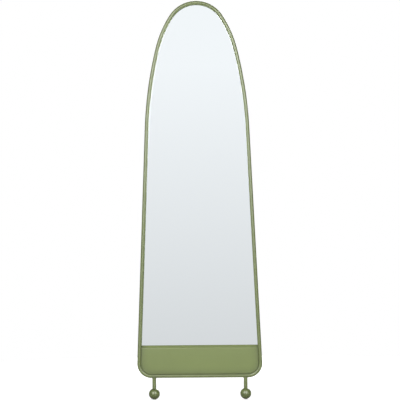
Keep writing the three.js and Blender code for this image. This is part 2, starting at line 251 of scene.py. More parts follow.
def finish_piece(piece, material, slot, *nodes):
    """Smooth shading, a material, and the piece's place in the frame."""
    piece.data.shade_smooth()
    piece.data.set_sharp_from_angle(angle=SHARP_ANGLE)
    piece.data.materials.clear()
    piece.data.materials.append(material)
    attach(piece, "root")
    if nodes:
        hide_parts(*nodes)
    print(f"{piece.name}: {len(piece.data.polygons)} faces")


print(f"faces that meet at more than {math.degrees(SHARP_ANGLE):.0f} degrees stay sharp")

# %% [markdown]
# ## Three effects that the finishes share
#
# No real surface is one flat colour. Three small node groups give each material its life, and the third of them
# serves painted shade in inner corners. Two helpers come first: one adds a node with its settings and links,
# and the other starts a group with its sockets.

# %% Node helpers
NODE_SPACING = 220


def add_node(tree, kind, inputs=None, **settings):
    """A node with its settings. An input is a plain value or another node's output."""
    made = tree.nodes.new(kind)
    made.location.x = NODE_SPACING * len(tree.nodes)
    for name, value in settings.items():
        setattr(made, name, value)
    for name, value in (inputs or {}).items():
        if isinstance(value, bpy.types.NodeSocket):
            tree.links.new(value, made.inputs[name])
        else:
            made.inputs[name].default_value = value
    return made


def new_group(name, inputs, outputs):
    """A shader node group with its sockets, and its input and output nodes."""
    tree = bpy.data.node_groups.new(name, "ShaderNodeTree")
    for socket, kind, value in inputs:
        made = tree.interface.new_socket(name=socket, in_out="INPUT", socket_type=kind)
        made.default_value = value
    for socket, kind in outputs:
        tree.interface.new_socket(name=socket, in_out="OUTPUT", socket_type=kind)
    return tree, add_node(tree, "NodeGroupInput").outputs


print("nodes are laid out", NODE_SPACING, "units apart")

# %% [markdown]
# The first group makes the fine grain of a surface and a slow drift across it. Both come from the object's own
# coordinates, so they stay put on the piece.

# %% Grain and drift
def surface_life():
    """Fine grain and slow drift, each from 0 to 1."""
    inputs = [
        ("Grains per metre", "NodeSocketFloat", 700.0),
        ("Drifts per metre", "NodeSocketFloat", 6.0),
    ]
    outputs = [("Grain", "NodeSocketFloat"), ("Drift", "NodeSocketFloat")]
    tree, given = new_group("surface_life", inputs, outputs)
    place = add_node(tree, "ShaderNodeTexCoord").outputs["Object"]
    grain = add_node(tree, "ShaderNodeTexNoise", {
        "Vector": place, "Scale": given["Grains per metre"], "Detail": 2.0, "Roughness": 0.55,
    })
    drift = add_node(tree, "ShaderNodeTexNoise", {
        "Vector": place, "Scale": given["Drifts per metre"], "Detail": 3.0, "Roughness": 0.5,
    })
    add_node(tree, "NodeGroupOutput", {"Grain": grain.outputs[0], "Drift": drift.outputs[0]})
    return tree


life_group = surface_life()
print(life_group.name, "has", len(life_group.nodes), "nodes")

# %% [markdown]
# The second group moves a colour a little lighter and darker with such a drift.

# %% Drifting colour
DRIFT_MIDDLE = 0.5


def drifting_colour():
    """A colour that a drift from 0 to 1 makes darker and lighter about its middle."""
    inputs = [
        ("Colour", "NodeSocketColor", (0.5, 0.5, 0.5, 1.0)),
        ("Drift", "NodeSocketFloat", DRIFT_MIDDLE),
        ("Amount", "NodeSocketFloat", 0.1),
    ]
    tree, given = new_group("drifting_colour", inputs, [("Colour", "NodeSocketColor")])
    centred = add_node(tree, "ShaderNodeMath", {0: given["Drift"], 1: DRIFT_MIDDLE}, operation="SUBTRACT")
    scaled = add_node(tree, "ShaderNodeMath", {0: centred.outputs[0], 1: given["Amount"]}, operation="MULTIPLY")
    value = add_node(tree, "ShaderNodeMath", {0: scaled.outputs[0], 1: 1.0}, operation="ADD")
    shifted = add_node(tree, "ShaderNodeHueSaturation", {"Color": given["Colour"], "Value": value.outputs[0]})
    add_node(tree, "NodeGroupOutput", {"Colour": shifted.outputs[0]})
    return tree


colour_group = drifting_colour()
print(colour_group.name, "has", len(colour_group.nodes), "nodes")

# %% [markdown]
# The third group finds inner corners, for painted shade. It looks how much of the space just before the surface
# is taken up by other steel, and the square root of that lets the mask reach a few centimetres out of a corner.

# %% Inner corners for painted shade
CORNER_SAMPLES = 24
SQUARE_ROOT = 0.5


def painted_shade_corners():
    """A mask for painted shade, from 0 on open faces to 1 deep in a corner."""
    tree, given = new_group(
        "painted_shade_corners", [("Reach", "NodeSocketFloat", 0.03)], [("Corner", "NodeSocketFloat")],
    )
    openness = add_node(
        tree, "ShaderNodeAmbientOcclusion", {"Distance": given["Reach"]}, samples=CORNER_SAMPLES,
    )
    closed = add_node(tree, "ShaderNodeMath", {0: 1.0, 1: openness.outputs["AO"]}, operation="SUBTRACT")
    spread = add_node(
        tree, "ShaderNodeMath", {0: closed.outputs[0], 1: SQUARE_ROOT}, operation="POWER", use_clamp=True,
    )
    add_node(tree, "NodeGroupOutput", {"Corner": spread.outputs[0]})
    return tree


painted_shade_group = painted_shade_corners()
print(painted_shade_group.name, "has", len(painted_shade_group.nodes), "nodes")

# %% [markdown]
# A finish is a material built on these groups. The shader itself stays in the material, and values that are the
# same all over the surface stand on its own sockets. Two functions add to a finish: one paints shade into its
# inner corners, and the other gives it a relief, of its grain unless another height is given.

# %% Finishes
def new_finish(name, colour, grains, drifts, amount, roughness_range, **constants):
    """A material whose colour and roughness drift."""
    material = bpy.data.materials.new(name)
    material.use_nodes = True
    tree = material.node_tree
    tree.nodes.clear()
    life = add_node(tree, "ShaderNodeGroup", node_tree=life_group, name="Life")
    life.inputs["Grains per metre"].default_value = grains
    life.inputs["Drifts per metre"].default_value = drifts
    tint = add_node(tree, "ShaderNodeGroup", node_tree=colour_group)
    tint.inputs["Colour"].default_value = (*colour, 1)
    tint.inputs["Amount"].default_value = amount
    tree.links.new(life.outputs["Drift"], tint.inputs["Drift"])
    smoothest, roughest = roughness_range
    gloss = add_node(tree, "ShaderNodeMapRange", {
        "Value": life.outputs["Drift"], "To Min": smoothest, "To Max": roughest,
    })
    shader = add_node(tree, "ShaderNodeBsdfPrincipled", {
        "Base Color": tint.outputs["Colour"], "Roughness": gloss.outputs["Result"], **constants,
    })
    add_node(tree, "ShaderNodeOutputMaterial", {"Surface": shader.outputs[0]})
    return material


def paint_corner_shade(material, amount, reach):
    """Paints shade into a finish's base colour, which grows darker in inner corners."""
    tree = material.node_tree
    shader = tree.nodes["Principled BSDF"]
    corner = add_node(tree, "ShaderNodeGroup", node_tree=painted_shade_group)
    corner.inputs["Reach"].default_value = reach
    share = add_node(tree, "ShaderNodeMath", {0: corner.outputs["Corner"], 1: amount}, operation="MULTIPLY")
    left = add_node(tree, "ShaderNodeMath", {0: 1.0, 1: share.outputs[0]}, operation="SUBTRACT")
    colour = shader.inputs["Base Color"].links[0].from_socket
    painted_shade_colour = add_node(tree, "ShaderNodeHueSaturation", {"Color": colour, "Value": left.outputs[0]})
    tree.links.new(painted_shade_colour.outputs[0], shader.inputs["Base Color"])


def add_relief(material, depth, strength=1.0, height=None):
    """Lets a height between 0 and 1 tilt a finish's shading as a relief of that depth would."""
    tree = material.node_tree
    height = height or tree.nodes["Life"].outputs["Grain"]
    bump = add_node(tree, "ShaderNodeBump", {"Strength": strength, "Distance": depth, "Height": height})
    tree.links.new(bump.outputs[0], tree.nodes["Principled BSDF"].inputs["Normal"])


print("groups that a finish can use:", [group.name for group in bpy.data.node_groups])

# %% [markdown]
# ## Sage-green powder coat
#
# Powder coat is a thin plastic skin baked onto the steel. It has a soft gloss, and close up a fine dimpled
# texture like orange peel, about a millimetre from dimple to dimple. A noise that drives a very shallow bump
# gives those dimples, and the drift keeps the gloss from being the same everywhere. Shade is painted into the
# coat's base colour, which grows darker in inner corners. The round tube, stems and balls get a darker, greyer
# copy of the coat than the flat sheet, as painted shade for their curved faces. So one function makes two
# materials. They differ only in their colour and in how much painted shade their corners get.

# %% Sage-green powder coat
SHEET_GREEN = (0.196, 0.255, 0.056)
# Painted shade: the round parts' green is darker and greyer than the sheet's, for the shade on their curved
# faces.
ROUND_GREEN_WITH_PAINTED_SHADE = (0.176, 0.220, 0.066)
# Painted shade in inner corners: how much darker each coat's base colour gets there.
SHEET_PAINTED_CORNER_SHADE = 0.70
ROUND_PAINTED_CORNER_SHADE = 0.50
CORNER_REACH = 0.03


def powder_coat(name, colour, painted_corner_shade):
    coat = new_finish(name, colour, grains=650.0, drifts=5.0, amount=0.08, roughness_range=(0.36, 0.42))
    # Paints shade into the base colour in inner corners.
    paint_corner_shade(coat, painted_corner_shade, CORNER_REACH)
    add_relief(coat, depth=0.00004, strength=0.5)
    return coat


sheet_coat = powder_coat("sage_coat_on_sheet", SHEET_GREEN, SHEET_PAINTED_CORNER_SHADE)
# The round parts' copy of the coat, whose darker colour is painted shade.
round_coat_with_painted_shade = powder_coat("sage_coat_on_round_with_painted_shade", ROUND_GREEN_WITH_PAINTED_SHADE, ROUND_PAINTED_CORNER_SHADE)
print("coats:", sheet_coat.name, round_coat_with_painted_shade.name)

# %% [markdown]
# ## The frame tube
#
# The tube is a circle swept round the ring. Sweeping it by hand, station by station, keeps every cross-section
# square to the ring, and it keeps the mesh even. Two small vent holes in the rear of the bottom run let the air
# out while the powder is baked. They are cut with a boolean.

# %% Frame tube
TUBE_SIDES = 40
VENT_DIAMETER = 0.005
VENT_DEPTH = 0.005
VENT_SHARE = 0.55
HOLE_SIDES = 24


def swept(profile, stations, closed=True):
    """A profile of (outward, y) points carried along ring stations."""
    return skin([[(x + n * out, y, z + m * out) for out, y in profile] for x, z, n, m in stations], closed)


def circle(radius, sides, across=0.0, along=0.0):
    turns = [2 * math.pi * i / sides for i in range(sides)]
    return [(across + radius * math.cos(turn), along + radius * math.sin(turn)) for turn in turns]


def rod_along_y(radius, x, z, low, high):
    return skin([[(px, y, pz) for px, pz in circle(radius, HOLE_SIDES, x, z)] for y in (low, high)])


corner_x = max(station[0] for station in ring) - CORNER_RADIUS
tube = solid("tube_ring", [swept(circle(tube_radius, TUBE_SIDES, 0, axis_y), ring)])
rear = axis_y + tube_radius
vent_x = corner_x * VENT_SHARE
carve(tube, [
    rod_along_y(VENT_DIAMETER / 2, side * vent_x, bottom_z, rear - VENT_DEPTH, rear + VENT_DEPTH)
    for side in (-1, 1)
])
finish_piece(tube, round_coat_with_painted_shade, "sage_coat", "frame_tube")

# %% [markdown]
# ## The rim strip
#
# Behind the tube a flat strip stands on edge all the way round. It makes the tray for the glass and the board.
# It is the same sweep with a flat profile whose corners are broken.

# %% Rim strip
RIM_OVERHANG = 0.0015
RIM_THICKNESS = 0.0015
RIM_EDGE = 0.0004

rim_low, rim_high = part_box("frame_rim")
rim_outside = RIM_OVERHANG + RIM_THICKNESS


def broken_rectangle(low, high, left, right, edge):
    """A rectangle with its four corners broken by a small flat."""
    return [
        (left + edge, low), (right - edge, low), (right, low + edge), (right, high - edge),
        (right - edge, high), (left + edge, high), (left, high - edge), (left, low + edge),
    ]


rim_profile = broken_rectangle(rim_low.y, rim_high.y, RIM_OVERHANG, rim_outside, RIM_EDGE)
rim = solid("rim_strip", [swept(rim_profile, ring)])
finish_piece(rim, sheet_coat, "sage_coat", "frame_rim")

# %% [markdown]
# ## Weld beads
#
# A weld bead is a small rod swept along the seam. Its thickness ripples along its length, as the welder's hand
# moves on drop by drop, and it fades at its ends. Its path is a list of points that lie close together.

# %% Weld beads
BEAD_RADIUS = 0.0014
BEAD_SIDES = 10
BEAD_STEP = 0.0004
BEAD_RIPPLE = 0.0016
BEAD_RIPPLE_SHARE = 0.10
BEAD_END_SHARE = 0.35
BEAD_GROWTH = 5


def bead(points, radius=BEAD_RADIUS, closed=False):
    """A weld bead along a list of points."""
    loops, run = [], 0.0
    for i, point in enumerate(points):
        before = points[i - 1] if i or closed else point
        after = points[(i + 1) % len(points)] if i + 1 < len(points) or closed else point
        run += (point - points[i - 1]).length if i else 0.0
        ahead = (after - before).normalized()
        turn = ahead.to_track_quat("Z", "X").to_matrix()
        share = i / (len(points) - 1)
        fade = 1.0 if closed else min(1.0, BEAD_END_SHARE + BEAD_GROWTH * min(share, 1 - share))
        thick = radius * fade * (1 + BEAD_RIPPLE_SHARE * math.sin(2 * math.pi * run / BEAD_RIPPLE))
        loops.append([point + turn @ Vector((px, py, 0)) for px, py in circle(thick, BEAD_SIDES)])
    return skin(loops, closed)


def straight_run(start, end):
    """Points from one place to another."""
    count = round((end - start).length / BEAD_STEP)
    return [start.lerp(end, i / count) for i in range(count + 1)]


straight = straight_run(Vector((0, 0, 0)), Vector((1, 0, 0)))
print(f"a straight bead of one metre follows {len(straight)} points")

# %% [markdown]
# ## The stitch welds
#
# The rim is stitch-welded to the tube from outside: short beads with long gaps, in pairs left and right, because
# one long weld would warp the ring. Each stitch has its place as a share of the way from the crown to the
# bottom.

# %% Stitch welds
STITCH_LENGTH = 0.024
STITCH_SHARES = (0.02, 0.17, 0.27, 0.41, 0.55, 0.69, 0.85, 0.96)
STITCH_OUT_SHARE = 0.4
STITCH_FRONT_SHARE = 0.3


def ring_lengths():
    """How far along the ring each right-half station lies from the crown."""
    lengths = [0.0]
    for (x0, z0, *_), (x1, z1, *_) in zip(right_half, right_half[1:]):
        lengths.append(lengths[-1] + math.hypot(x1 - x0, z1 - z0))
    return lengths


lengths = ring_lengths()


def ring_at(length):
    """The station at a length from the crown, between the two that it falls between."""
    index = max(i for i, known in enumerate(lengths[:-1]) if known <= length)
    share = (length - lengths[index]) / (lengths[index + 1] - lengths[index])
    return [lerp(a, b, share) for a, b in zip(right_half[index], right_half[index + 1])]


def ring_run(middle_share, run_length, out, y, side):
    """Points along the ring beside one place, at an outward offset and a depth."""
    middle = lengths[-1] * middle_share
    count = round(run_length / BEAD_STEP)
    spans = [middle + run_length * (i / count - 0.5) for i in range(count + 1)]
    return [Vector((side * (x + n * out), y, z + m * out)) for x, z, n, m in map(ring_at, spans)]


stitch_out = rim_outside + BEAD_RADIUS * STITCH_OUT_SHARE
stitch_y = rim_low.y - BEAD_RADIUS * STITCH_FRONT_SHARE
stitches = [
    bead(ring_run(share, STITCH_LENGTH, stitch_out, stitch_y, side))
    for share in STITCH_SHARES for side in (-1, 1)
]
finish_piece(solid("rim_welds", stitches), round_coat_with_painted_shade, "sage_coat")

# %% [markdown]
# ## The mirror glass
#
# A mirror is silver behind clear glass. One metallic shader makes the silver, and its clear coat is the glass
# before it. The glass needs almost no roughness: what it shows is the studio, so the studio has to be right.

# %% Silvered glass
SILVER = (0.882, 0.925, 0.950)
GLASS_IOR = 1.52

silvered_glass = new_finish(
    "silvered_glass", SILVER, grains=60.0, drifts=3.0, amount=0.012, roughness_range=(0.0, 0.012),
    **{"Metallic": 1.0, "Coat Weight": 1.0, "Coat Roughness": 0.0, "Coat IOR": GLASS_IOR},
)
print(silvered_glass.name, "has", len(silvered_glass.node_tree.nodes), "nodes")

# %% [markdown]
# The glass is a plate with a ground edge, cut to the ring's outline and straight across behind the panel. The
# same outline function serves the board later. It moves each station of the ring outwards or inwards by the
# same distance, so the plate keeps an even gap to the rim.

# %% Mirror pane
EDGE_GAP = 0.0003
GLASS_EDGE = 0.0005

glass_low, glass_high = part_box("mirror_glass")


def outline(out, stations=ring):
    return [(x + n * out, z + m * out) for x, z, n, m in stations]


def half_width(height, out):
    """Half the width of the ring's outline at one height above its widest place."""
    right = outline(out, right_half)
    for (x0, z0), (x1, z1) in zip(right, right[1:]):
        if z1 <= height < z0:
            return lerp(x0, x1, (z0 - height) / (z0 - z1))
    return 0.0


def layered_plate(outline_at, front, back, edge):
    """A plate between two depths, its edges broken. outline_at(inset) gives the outline drawn in by inset."""
    layers = [(edge, front), (0.0, front + edge), (0.0, back - edge), (edge, back)]
    return skin([[(x, y, z) for x, z in outline_at(inset)] for inset, y in layers])


def glass_outline(inset):
    out = RIM_OVERHANG - EDGE_GAP - inset
    foot = glass_low.z + inset
    upper = [(x, z) for x, z in outline(out) if z > glass_low.z + 2 * GLASS_EDGE]
    across = half_width(foot, out)
    right = [point for point in upper if point[0] >= 0]
    left = [point for point in upper if point[0] < 0]
    return right + [(across, foot), (-across, foot)] + left


glass = solid("mirror_pane", [layered_plate(glass_outline, glass_low.y, glass_high.y, GLASS_EDGE)])
finish_piece(glass, silvered_glass, "silvered_glass", "mirror_glass")

# %% [markdown]
# ## The lower panel
#
# The panel is one sheet. Its face is flat, and a lip along its top edge slopes back to the glass. A press brake
# bends such a lip round a small radius, so the bend is an arc here as well: it catches the light as one thin
# line. The side profile is run across the ring and past it by an overrun, and a boolean keeps only what lies
# inside the tube.

# %% Lower panel
SHEET_THICKNESS = 0.0015
LIP_ANGLE = math.radians(32)
LIP_BEND_RADIUS = 0.004
LIP_BEND_STEPS = 10
OVERRUN = 0.005

panel_low, panel_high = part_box("lower_panel")


def panel_profile():
    """The sheet's side profile as (y, z) points, from below the ring up the front and down the back."""
    depth = panel_high.y - panel_low.y
    sine, cosine = math.sin(LIP_ANGLE), math.cos(LIP_ANGLE)
    lip_run = (depth - LIP_BEND_RADIUS * (1 - cosine)) / sine
    middle_y = panel_low.y + LIP_BEND_RADIUS
    middle_z = panel_high.z - LIP_BEND_RADIUS * sine - lip_run * cosine
    turns = [LIP_ANGLE * i / LIP_BEND_STEPS for i in range(LIP_BEND_STEPS + 1)]

    def bend(radius):
        return [(middle_y - radius * math.cos(turn), middle_z + radius * math.sin(turn)) for turn in turns]

    front, back = bend(LIP_BEND_RADIUS), bend(LIP_BEND_RADIUS - SHEET_THICKNESS)
    lip_end = [(panel_high.y, panel_high.z), (panel_high.y, panel_high.z - SHEET_THICKNESS / sine)]
    foot = panel_low.z - OVERRUN
    return [(panel_low.y, foot)] + front + lip_end + back[::-1] + [(panel_low.y + SHEET_THICKNESS, foot)]


across = tube_high.x + OVERRUN
panel = solid("panel_sheet", [skin([[(x, y, z) for y, z in panel_profile()] for x in (-across, across)])])
inside_tube = [
    [(x, y, z) for x, z in outline(-tube_radius - EDGE_GAP)]
    for y in (panel_low.y - OVERRUN, panel_high.y + OVERRUN)
]
carve(panel, [skin(inside_tube)], "INTERSECT")
finish_piece(panel, sheet_coat, "sage_coat", "lower_panel")

# %% [markdown]
# ## The stems and their welds
#
# Each foot is a short round stem welded under the tube and a steel ball on a threaded stud. The stem's top is
# cut to the tube's curve. A closed weld bead runs round that joint, along the line on which the stem meets the
# tube, and a little below it at the front and the back, where that line would reach the tube's widest place.

# %% Stems and their welds
ROUND_SIDES = 64
FOOT_WELD_RADIUS = 0.0013
FOOT_WELD_POINTS = 200
FOOT_WELD_OUT_SHARE = 0.2
SEAM_REACH_SHARE = 0.94


def turned(profile, x, y):
    """Circles of (radius, z) about an upright axis, from one end to the other."""
    return skin([[(px, py, z) for px, py in circle(radius, ROUND_SIDES, x, y)] for radius, z in profile])


def make_stem(word):
    """A stem and its weld. It gives back the stem's axis and radius."""
    low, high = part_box(f"foot_stem_{word}")
    x, y, radius = (low.x + high.x) / 2, (low.y + high.y) / 2, (high.x - low.x) / 2
    stem = solid(f"stem_{word}", [turned([(radius, low.z), (radius, high.z)], x, y)])
    saddle = [
        [(x + along, y + py, bottom_z + pz) for py, pz in circle(tube_radius + EDGE_GAP, ROUND_SIDES)]
        for along in (-2 * radius, 2 * radius)
    ]
    carve(stem, [skin(saddle)])
    finish_piece(stem, round_coat_with_painted_shade, "sage_coat", f"foot_stem_{word}")

    seam = []
    for aside, before in circle(radius + FOOT_WELD_RADIUS * FOOT_WELD_OUT_SHARE, FOOT_WELD_POINTS):
        reach = min(abs(before), tube_radius)
        drop = math.sqrt(tube_radius**2 - reach**2 * SEAM_REACH_SHARE)
        seam.append(Vector((x + aside, y + before, bottom_z - drop)))
    weld = solid(f"stem_weld_{word}", [bead(seam, FOOT_WELD_RADIUS, closed=True)])
    finish_piece(weld, round_coat_with_painted_shade, "sage_coat")
    return x, y, radius


print(f"the seam round a stem has {FOOT_WELD_POINTS} points")

# %% [markdown]
# ## The balls and their felt pads
#
# The balls are turned, with a small flat under the stem and a pocket below for a felt pad. Felt needs loose
# fibres, so its bump is strong and fine, and a sheen stands for the light that the fibres catch. The whole feet
# are made here, one after the other.

# %% Balls and pads
BALL_RINGS = 40
PAD_EDGE = 0.0004
FELT_GREY = (0.150, 0.147, 0.140)

grey_felt = new_finish(
    "grey_felt", FELT_GREY, grains=2600.0, drifts=240.0, amount=0.5, roughness_range=(0.9, 1.0),
    **{"Sheen Weight": 0.4, "Sheen Roughness": 0.6},
)
add_relief(grey_felt, depth=0.0004)


def make_ball(word, x, y, stem_radius):
    """A ball with a flat as wide as its stem, and the pad in its pocket."""
    low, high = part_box(f"foot_ball_{word}")
    pad_low, pad_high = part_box(f"floor_pad_{word}")
    radius, pad_radius = (high.x - low.x) / 2, (pad_high.x - pad_low.x) / 2
    middle = high.z - math.sqrt(radius**2 - stem_radius**2)
    pocket = pad_radius + EDGE_GAP
    start, end = math.asin(stem_radius / radius), math.pi - math.asin(pocket / radius)
    angles = [lerp(start, end, i / BALL_RINGS) for i in range(BALL_RINGS + 1)]
    profile = [(radius * math.sin(angle), middle + radius * math.cos(angle)) for angle in angles]
    ball = solid(f"ball_{word}", [turned(profile + [(pocket, pad_high.z + EDGE_GAP)], x, y)])
    finish_piece(ball, round_coat_with_painted_shade, "sage_coat", f"foot_ball_{word}")

    pad_profile = [
        (pad_radius - PAD_EDGE, pad_low.z), (pad_radius, pad_low.z + PAD_EDGE), (pad_radius, pad_high.z),
    ]
    pad = solid(f"felt_pad_{word}", [turned(pad_profile, x, y)])
    finish_piece(pad, grey_felt, "grey_felt", f"floor_pad_{word}")


for word in ("left", "right"):
    make_ball(word, *make_stem(word))

# %% [markdown]
# ## The back board
#
# The tray is closed by a fibreboard with a matt black face. Pressed fibres give the face a fine random relief.
# The board is cut to the same outline as the glass, and it has one pilot hole for each tab's screw.

# %% Back board
BOARD_BLACK = (0.022, 0.020, 0.018)
BOARD_EDGE = 0.0004
PILOT_RADIUS = 0.00205

black_board = new_finish(
    "black_board", BOARD_BLACK, grains=900.0, drifts=14.0, amount=0.5, roughness_range=(0.62, 0.80),
)
add_relief(black_board, depth=0.00008, strength=0.6)

board_low, board_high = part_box("back_board")
tab_numbers = sorted(name[-2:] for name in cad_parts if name.startswith("board_tab_"))


def middle_of(node):
    low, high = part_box(node)
    return (low + high) / 2


def board_outline(inset):
    return outline(RIM_OVERHANG - EDGE_GAP - inset)


board = solid("board_sheet", [layered_plate(board_outline, board_low.y, board_high.y, BOARD_EDGE)])
pilots = []
for number in tab_numbers:
    tip_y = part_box(f"tab_screw_{number}")[0].y
    hole = middle_of(f"tab_screw_{number}")
    pilots.append(rod_along_y(PILOT_RADIUS, hole.x, hole.z, tip_y - EDGE_GAP, board_high.y + OVERRUN))
carve(board, pilots)
finish_piece(board, black_board, "black_board", "back_board")

# %% [markdown]
# ## The board's tabs
#
# Twelve flat steel tabs are welded to the rim's rear edge and reach over the board. All are alike, so one is
# made here about its own screw hole, with its corners rounded and its edges broken.

# %% A tab
TAB_WIDTH = 0.022
TAB_REACH = 0.026
TAB_CORNER = 0.004
TAB_EDGE = 0.0004
TAB_HOLE_INSET = 0.008
QUARTER = math.pi / 2
ROUND_STEPS = 6


def quarter_turns(steps, first=0):
    """Angles over a quarter turn, in even steps."""
    return [QUARTER * (first + i / steps) for i in range(steps + 1)]


def rounded_rectangle(left, right, low, high, radius, inset):
    """A rectangle's outline with quarter-round corners, drawn in by inset."""
    corners = [
        (right - radius, high - radius), (left + radius, high - radius),
        (left + radius, low + radius), (right - radius, low + radius),
    ]
    drawn_in = radius - inset
    return [
        (x + drawn_in * math.cos(turn), z + drawn_in * math.sin(turn))
        for quarter, (x, z) in enumerate(corners) for turn in quarter_turns(ROUND_STEPS, quarter)
    ]


def tab_outline(inset):
    """A tab's outline about its screw hole: +Z points out of the ring."""
    top = TAB_HOLE_INSET + rim_outside
    return rounded_rectangle(-TAB_WIDTH / 2, TAB_WIDTH / 2, top - TAB_REACH, top, TAB_CORNER, inset)


tab_low, tab_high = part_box("board_tab_01")
tab = solid("tab", [layered_plate(tab_outline, tab_low.y, tab_high.y, TAB_EDGE)])
carve(tab, [rod_along_y(PILOT_RADIUS, 0, 0, tab_low.y - OVERRUN, tab_high.y + OVERRUN)])
print("a tab has", len(tab.data.polygons), "faces")

# %% [markdown]
# ## The tabs' screws
#
# A zinc-plated pan-head screw goes through each tab. It is turned like the balls, along Y, and its cross recess
# narrows towards its floor, as a screwdriver's tip does.

# %% A screw
HEAD_HEIGHT = 0.0022
HEAD_RADIUS = 0.004
HEAD_EDGE = 0.0009
HEAD_CROWN_SHARE = 0.3
HEAD_TOP_SHARE = 0.4
SHANK_RADIUS = 0.00175
SHANK_TIP_SHARE = 0.3
RECESS_REACH = 0.0021
RECESS_WIDTH = 0.0005
RECESS_DEPTH = 0.0014
RECESS_FLOOR_SHARE = 0.55
ZINC = (0.52, 0.52, 0.49)

zinc_plate = new_finish(
    "zinc_plate", ZINC, grains=1500.0, drifts=160.0, amount=0.30, roughness_range=(0.24, 0.42),
    **{"Metallic": 1.0},
)
add_relief(zinc_plate, depth=0.00003, strength=0.4)


def screw_mesh(seat, tip):
    """A screw along Y whose head sits on the plane y = seat."""
    top = seat + HEAD_HEIGHT
    profile = [
        (SHANK_RADIUS * SHANK_TIP_SHARE, tip), (SHANK_RADIUS, tip + SHANK_RADIUS),
        (SHANK_RADIUS, seat), (HEAD_RADIUS, seat),
    ]
    for turn in quarter_turns(ROUND_STEPS):
        out = HEAD_RADIUS - HEAD_EDGE * (1 - math.cos(turn))
        profile.append((out, top - HEAD_EDGE * (1 + HEAD_CROWN_SHARE - math.sin(turn))))
    profile.append((HEAD_RADIUS * HEAD_TOP_SHARE, top))
    made = solid("screw", [skin([[(px, y, pz) for px, pz in circle(r, HOLE_SIDES)] for r, y in profile])])
    wing = [(RECESS_REACH, RECESS_WIDTH), (RECESS_WIDTH, RECESS_WIDTH), (RECESS_WIDTH, RECESS_REACH)]
    cross = []
    for quarter in range(4):
        cos, sin = round(math.cos(quarter * QUARTER)), round(math.sin(quarter * QUARTER))
        cross += [(px * cos - pz * sin, px * sin + pz * cos) for px, pz in wing]
    levels = [(top - RECESS_DEPTH, RECESS_FLOOR_SHARE), (top + EDGE_GAP, 1.0)]
    carve(made, [skin([[(px * size, y, pz * size) for px, pz in cross] for y, size in levels])])
    return made


screw_low, screw_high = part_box("tab_screw_01")
screw = screw_mesh(screw_high.y - HEAD_HEIGHT, screw_low.y)
print("a screw has", len(screw.data.polygons), "faces")

# %% [markdown]
# ## Twelve of each, all round
#
# Each copy of the tab is turned to the ring's outward direction at its place, and a short weld bead closes its
# outer seam. Its screw is turned a little further than the one before, since no two are driven alike.

# %% Tabs and screws in place
TAB_BEAD_LENGTH = 0.014
TAB_BEAD_OUT_SHARE = 0.2
SCREW_TURN_STEP = 1.1


def outward_near(x, z):
    """The ring's outward direction at the place on it that lies nearest to a point."""
    best = (math.inf, 0.0, 1.0)
    for (x0, z0, n0, m0), (x1, z1, n1, m1) in zip(ring, ring[1:] + ring[:1]):
        run_x, run_z = x1 - x0, z1 - z0
        share = ((x - x0) * run_x + (z - z0) * run_z) / (run_x**2 + run_z**2)
        share = min(1.0, max(0.0, share))
        away = math.hypot(x - lerp(x0, x1, share), z - lerp(z0, z1, share))
        best = min(best, (away, lerp(n0, n1, share), lerp(m0, m1, share)))
    return best[1:]


def stand_at(place, turn):
    """The move to a place and the turn about Y that a copy gets."""
    return Matrix.Translation(place) @ Matrix.Rotation(turn, 4, "Y")


def copy_to(source, name, stand):
    """Another object with the same mesh, moved and turned."""
    made = put_in_scene(name, source.data.copy())
    made.data.transform(stand)
    return made


tab_edge = TAB_HOLE_INSET + rim_outside + BEAD_RADIUS * TAB_BEAD_OUT_SHARE
tab_beads = []
for number in tab_numbers:
    hole = middle_of(f"tab_screw_{number}")
    place = Vector((hole.x, 0, hole.z))
    turn = math.atan2(*outward_near(hole.x, hole.z))
    stand = stand_at(place, turn)
    finish_piece(copy_to(tab, f"tab_{number}", stand), sheet_coat, "sage_coat", f"board_tab_{number}")
    driven = copy_to(screw, f"screw_{number}", stand_at(place, turn + int(number) * SCREW_TURN_STEP))
    finish_piece(driven, zinc_plate, "zinc_plate", f"tab_screw_{number}")
    ends = [stand @ Vector((end * TAB_BEAD_LENGTH / 2, tab_low.y, tab_edge)) for end in (-1, 1)]
    tab_beads.append(bead(straight_run(*ends)))
finish_piece(solid("tab_welds", tab_beads), sheet_coat, "sage_coat")
for source in (tab, screw):
    bpy.data.objects.remove(source)

# %% [markdown]
# ## The hanging rail
#
# A hat-section rail crosses the back. Its feet lie on the board, and its web meets the wall. The section is
# drawn as a bent sheet: its line runs through the middle of the sheet, each bend is an arc, and half the
# sheet's thickness is laid to both sides.

# %% Rail section
WEB_HALF = 0.012
BEND_RADIUS = 0.0016
BEND_STEPS = 6

rail_low, rail_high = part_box("hanging_rail")


def bent_line(points, radius):
    """A line with each inner corner rounded by an arc, as pairs of a point and the normal there."""
    line = []
    for before, corner, after in zip(points, points[1:], points[2:]):
        into, away = (corner - before).normalized(), (after - corner).normalized()
        turn = into.angle_signed(away)
        reach = radius * math.tan(abs(turn) / 2)
        start = corner - into * reach
        side = 1 if turn < 0 else -1
        normal = Vector((-into.y, into.x)) * side
        centre = start + normal * radius
        for i in range(BEND_STEPS + 1):
            spoke = Matrix.Rotation(-turn * i / BEND_STEPS, 2) @ (-normal)
            line.append((centre + spoke * radius, spoke * side))
    first, last = points[1] - points[0], points[-1] - points[-2]
    start_normal = -Vector((-first.y, first.x)).normalized()
    end_normal = -Vector((-last.y, last.x)).normalized()
    return [(points[0], start_normal)] + line + [(points[-1], end_normal)]


def sheet_section(points, thickness, radius):
    """The outline of a sheet that is bent along a line."""
    line = bent_line(points, radius)
    one_side = [place + normal * thickness / 2 for place, normal in line]
    other_side = [place - normal * thickness / 2 for place, normal in reversed(line)]
    return one_side + other_side


